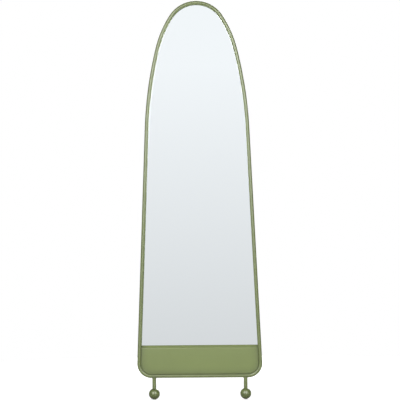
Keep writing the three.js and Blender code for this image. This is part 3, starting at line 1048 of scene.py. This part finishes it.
half = SHEET_THICKNESS / 2
middle_line = [
    Vector((rail_low.y + half, rail_low.z)), Vector((rail_low.y + half, -WEB_HALF + half)),
    Vector((rail_high.y - half, -WEB_HALF + half)), Vector((rail_high.y - half, WEB_HALF - half)),
    Vector((rail_low.y + half, WEB_HALF - half)), Vector((rail_low.y + half, rail_high.z)),
]
section = sheet_section(middle_line, SHEET_THICKNESS, BEND_RADIUS)
rail = solid("rail", [skin([[(x, y, z) for y, z in section] for x in (rail_low.x, rail_high.x)])])
print(f"the rail's section has {len(section)} points")

# %% [markdown]
# The web carries two keyholes. The head of a wall screw goes in at the round mouth. Its shank then slides up the
# slot, so the mirror hangs on the slots' upper ends. Short beads tie the rail's ends to the rim.

# %% Keyholes and end welds
KEYHOLE_SPACING = 0.200
KEYHOLE_RADIUS = 0.0055
SLOT_RADIUS = 0.0028
SLOT_TOP = 0.008


def keyhole(x):
    """A round mouth with a slot above it, cut through the rail's web."""
    opening = math.asin(SLOT_RADIUS / KEYHOLE_RADIUS)
    mouth = [lerp(opening, 2 * math.pi - opening, i / HOLE_SIDES) for i in range(HOLE_SIDES + 1)]
    crown = [lerp(-math.pi / 2, math.pi / 2, i / HOLE_SIDES) for i in range(HOLE_SIDES + 1)]
    points = [(x + KEYHOLE_RADIUS * math.sin(a), KEYHOLE_RADIUS * math.cos(a) - SLOT_RADIUS) for a in mouth]
    slot_end = SLOT_TOP - SLOT_RADIUS
    points += [(x + SLOT_RADIUS * math.sin(a), slot_end + SLOT_RADIUS * math.cos(a)) for a in crown]
    front, back = rail_high.y - SHEET_THICKNESS - EDGE_GAP, rail_high.y + OVERRUN
    return skin([[(px, y, pz) for px, pz in points] for y in (front, back)])


carve(rail, [keyhole(side * KEYHOLE_SPACING / 2) for side in (-1, 1)])
finish_piece(rail, sheet_coat, "sage_coat", "hanging_rail")

rail_beads = [
    bead(straight_run(
        Vector((side * rail_high.x, rail_low.y, foot * (WEB_HALF + BEAD_RADIUS))),
        Vector((side * rail_high.x, rail_low.y, foot * (rail_high.z - BEAD_RADIUS))),
    ))
    for side in (-1, 1) for foot in (-1, 1)
]
finish_piece(solid("rail_welds", rail_beads), sheet_coat, "sage_coat")

# %% [markdown]
# ## Rubber bumpers
#
# Four turned rubber bumpers keep the mirror parallel to the wall. Each has a straight foot and a tapered body,
# whose tip is rounded by an arc. The surface is matt, with a fine spark-eroded grain from the mould.

# %% Rubber bumpers
RUBBER_BLACK = (0.020, 0.020, 0.021)
BUMPER_TIP_RADIUS = 0.008
BUMPER_ROUND = 0.0009
BUMPER_ROUND_STEPS = 5
BUMPER_ROUND_SHARE = 0.9
BUMPER_RIM_HEIGHT = 0.00175

black_rubber = new_finish(
    "black_rubber", RUBBER_BLACK, grains=1800.0, drifts=60.0, amount=0.35, roughness_range=(0.70, 0.88),
)
add_relief(black_rubber, depth=0.00006, strength=0.7)


def make_bumper(place_name):
    low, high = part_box(f"wall_bumper_{place_name}")
    middle = (low + high) / 2
    radius = (high.x - low.x) / 2
    profile = [(radius, low.y), (radius, low.y + BUMPER_RIM_HEIGHT - BUMPER_ROUND)]
    for turn in quarter_turns(BUMPER_ROUND_STEPS):
        out = BUMPER_TIP_RADIUS + BUMPER_ROUND * math.cos(turn) * BUMPER_ROUND_SHARE
        profile.append((out, high.y - BUMPER_ROUND * (1 - math.sin(turn))))
    loops = [[(px, y, pz) for px, pz in circle(r, ROUND_SIDES, middle.x, middle.z)] for r, y in profile]
    bumper = solid(f"bumper_{place_name}", [skin(loops)])
    finish_piece(bumper, black_rubber, "black_rubber", f"wall_bumper_{place_name}")


for height in ("upper", "lower"):
    for side in ("left", "right"):
        make_bumper(f"{height}_{side}")

# %% [markdown]
# ## Hidden pieces that stay as they are
#
# Some pieces lie out of sight inside the tray: the foam tapes, the ledge under the glass and the studs in the
# feet. Their solids from the frame are right as they are, so they only get a finish. The foam is white and
# full of tiny cells.

# %% Hidden pieces
FOAM_WHITE = (0.80, 0.79, 0.75)
CELLS_PER_METRE = 2400.0

foam_tape = new_finish(
    "foam_tape", FOAM_WHITE, grains=2200.0, drifts=90.0, amount=0.12, roughness_range=(0.85, 0.95),
)
tree = foam_tape.node_tree
place = add_node(tree, "ShaderNodeTexCoord").outputs["Object"]
cells = add_node(tree, "ShaderNodeTexVoronoi", {"Vector": place, "Scale": CELLS_PER_METRE})
add_relief(foam_tape, depth=0.00015, height=cells.outputs["Distance"])

kept = {
    foam_tape: ("glass_tape_left", "glass_tape_middle", "glass_tape_right"),
    sheet_coat: ("glass_ledge",),
    zinc_plate: ("foot_stud_left", "foot_stud_right"),
}
for material, names in kept.items():
    for name in names:
        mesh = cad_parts[name].data
        mesh.materials.clear()
        mesh.materials.append(material)
    print(material.name, "on", ", ".join(names))

# %% [markdown]
# ## The studio
#
# Most of the light comes from the bright room before the mirror, which the world gives below, and from a square
# main light at the mirror's mid height. Reflections don't see the main light, or the glass would show it. Two
# tall, wide soft boxes stand left and right of the camera and mostly above it, for their reflections alone. Each
# ball shows two highlights above its middle, and each upright tube a pale line, which fades towards the bottom
# because the boxes end above it. A small light with a grid, which holds its light together, picks out the arch.
# The last light reaches the back, for views from behind.

# %% Lamps
LIT_PLACE = Vector((0.0, 0.0, -0.45))
BOX_AWAY = 3.5
BOX_ASIDE = math.radians(26)
BOX_MIDDLE = 0.65
BOX_WIDTH = 1.2
BOX_HEIGHT = 1.90
BOX_POWER = 190.0
REAR_PLACE = Vector((0.6, 6.0, 1.5))
REAR_SIZE = 2.4
REAR_POWER = 200.0
MAIN_PLACE = Vector((0.0, -3.0, -0.50))
MAIN_SIZE = 1.5
MAIN_POWER = 33.0
ARCH_PLACE = Vector((0.0, 0.0, 0.33))
ARCH_LIGHT_PLACE = Vector((0.0, -1.6, 0.06))
ARCH_LIGHT_WIDTH = 0.6
ARCH_LIGHT_HEIGHT = 0.45
ARCH_LIGHT_POWER = 0.10
GRID_ANGLE = math.radians(24)


def soft_light(name, place, width, height, power, target=LIT_PLACE, spread=math.pi, **seen):
    """A rectangular lamp that faces its target. seen says which rays can see it."""
    lamp = bpy.data.lights.new(name, "AREA")
    lamp.shape = "RECTANGLE"
    lamp.size, lamp.size_y = width, height
    lamp.energy = power
    lamp.spread = spread
    made = put_in_scene(name, lamp)
    made.matrix_world = looking(place, target)
    made.visible_camera = False
    for kind, value in seen.items():
        setattr(made, f"visible_{kind}", value)


soft_light("main_light", MAIN_PLACE, MAIN_SIZE, MAIN_SIZE, MAIN_POWER, glossy=False)
soft_light("rear_light", REAR_PLACE, REAR_SIZE, REAR_SIZE, REAR_POWER)
soft_light("arch_light", ARCH_LIGHT_PLACE, ARCH_LIGHT_WIDTH, ARCH_LIGHT_HEIGHT, ARCH_LIGHT_POWER,
           ARCH_PLACE, GRID_ANGLE)
for side, word in ((-1, "left"), (1, "right")):
    place = Vector((side * BOX_AWAY * math.sin(BOX_ASIDE), -BOX_AWAY * math.cos(BOX_ASIDE), BOX_MIDDLE))
    soft_light(f"soft_box_{word}", place, BOX_WIDTH, BOX_HEIGHT, BOX_POWER, diffuse=False)
for lamp in bpy.data.lights:
    print(f"{lamp.name}: {lamp.size:.2f} x {lamp.size_y:.2f} m, {lamp.energy:g} W")

# %% [markdown]
# The world is white where the camera sees it. Reflections see the studio instead: its front, which is pale above
# and darker low down, and its dim sides and back. Matt surfaces are lit by the room. It is bright before the
# mirror and dim behind it, so tubes and balls darken a little towards their edges.

# %% World
ROOM_BACK = 0.10
ROOM_FRONT = 0.54
SIDE_LEVEL = 0.30
FRONT_LOW = (-0.09, 0.72)
FRONT_HIGH = (0.107, 1.0)
FRONT_FROM, FRONT_FULL = -0.20, -0.80
ROOM_FROM, ROOM_FULL = 0.3, -0.5


def any_of(tree, *masks):
    """A mask that is 1 where any of the given masks is."""
    most = masks[0]
    for mask in masks[1:]:
        most = add_node(tree, "ShaderNodeMath", {0: most, 1: mask}, operation="MAXIMUM").outputs[0]
    return most


world = bpy.data.worlds.new("studio")
bpy.context.scene.world = world
world.use_nodes = True
tree = world.node_tree
tree.nodes.clear()
direction = add_node(tree, "ShaderNodeTexCoord").outputs["Generated"]
parts = add_node(tree, "ShaderNodeSeparateXYZ", {"Vector": direction})
front = add_node(tree, "ShaderNodeMapRange", {
    "Value": parts.outputs["Z"], "From Min": FRONT_LOW[0], "From Max": FRONT_HIGH[0],
    "To Min": FRONT_LOW[1], "To Max": FRONT_HIGH[1],
})
ahead = add_node(tree, "ShaderNodeMapRange", {
    "Value": parts.outputs["Y"], "From Min": FRONT_FROM, "From Max": FRONT_FULL,
}, interpolation_type="SMOOTHSTEP")
seen = add_node(tree, "ShaderNodeMix", {
    "Factor": ahead.outputs[0], "A": SIDE_LEVEL, "B": front.outputs[0],
})
room = add_node(tree, "ShaderNodeMapRange", {
    "Value": parts.outputs["Y"], "From Min": ROOM_FROM, "From Max": ROOM_FULL,
    "To Min": ROOM_BACK, "To Max": ROOM_FRONT,
}, interpolation_type="SMOOTHSTEP")
light_path = add_node(tree, "ShaderNodeLightPath").outputs
for_gloss = add_node(tree, "ShaderNodeMix", {
    "Factor": light_path["Is Glossy Ray"], "A": room.outputs[0], "B": seen.outputs[0],
})
white_seen = any_of(tree, light_path["Is Camera Ray"], light_path["Is Transmission Ray"])
strength = add_node(tree, "ShaderNodeMix", {"Factor": white_seen, "A": for_gloss.outputs[0], "B": 1.0})
background = add_node(tree, "ShaderNodeBackground", {"Strength": strength.outputs[0]})
background.inputs["Color"].default_value = (1, 1, 1, 1)
add_node(tree, "ShaderNodeOutputWorld", {"Surface": background.outputs[0]})
print("room light:", ROOM_BACK, "behind the mirror,", ROOM_FRONT, "before it")
print("studio front:", FRONT_LOW[1], "low down,", FRONT_HIGH[1], "above")

# %% [markdown]
# ## The floor
#
# The floor is plain and pale. It keeps a soft shadow under the feet, and further out it turns into the white of
# the background, so that no edge of it shows.

# %% Floor
FLOOR_RADIUS = 2.2
FLOOR_THICKNESS = 0.02
FLOOR_SIDES = 96
FLOOR_GAP = 0.0003
FLOOR_PALE = (0.46, 0.46, 0.46)
WHITE_NEAR = 0.72
FADE_FROM = 0.35
FADE_TO = 1.5
REFLECTED_FLOOR = 0.5

floor_z = cad_low.z - FLOOR_GAP
rims = [
    [(x, y, z) for x, y in circle(FLOOR_RADIUS, FLOOR_SIDES)] for z in (floor_z, floor_z - FLOOR_THICKNESS)
]
floor = solid("floor", [skin(rims)])
floor_finish = new_finish(
    "pale_floor", FLOOR_PALE, grains=300.0, drifts=2.0, amount=0.02, roughness_range=(0.7, 0.8),
)
tree = floor_finish.node_tree
place = add_node(tree, "ShaderNodeTexCoord").outputs["Object"]
level_place = add_node(tree, "ShaderNodeVectorMath", {0: place, 1: (1, 1, 0)}, operation="MULTIPLY")
away = add_node(tree, "ShaderNodeVectorMath", {0: level_place.outputs[0]}, operation="LENGTH")
white_share = add_node(tree, "ShaderNodeMapRange", {
    "Value": away.outputs["Value"], "From Min": FADE_FROM, "From Max": FADE_TO,
    "To Min": WHITE_NEAR, "To Max": 1.0,
}, interpolation_type="SMOOTHSTEP")
light_path = add_node(tree, "ShaderNodeLightPath").outputs
looked_at = any_of(
    tree, light_path["Is Camera Ray"], light_path["Is Transmission Ray"], light_path["Is Glossy Ray"],
)
glow = add_node(tree, "ShaderNodeMath", {0: white_share.outputs[0], 1: looked_at}, operation="MULTIPLY")
level = add_node(tree, "ShaderNodeMix", {
    "Factor": light_path["Is Glossy Ray"], "A": 1.0, "B": REFLECTED_FLOOR,
})
strength = add_node(tree, "ShaderNodeMath", {0: glow.outputs[0], 1: level.outputs[0]}, operation="MULTIPLY")
plain_white = add_node(tree, "ShaderNodeEmission", {"Strength": strength.outputs[0]})
matt = tree.nodes["Principled BSDF"].outputs[0]
added = add_node(tree, "ShaderNodeAddShader", {0: matt, 1: plain_white.outputs[0]})
tree.links.new(added.outputs[0], tree.nodes["Material Output"].inputs["Surface"])
floor.data.materials.append(floor_finish)

# %% [markdown]
# ## Plain colours
#
# Blender's standard view transform shows a colour as it is written.

bpy.context.scene.view_settings.view_transform = "Standard"
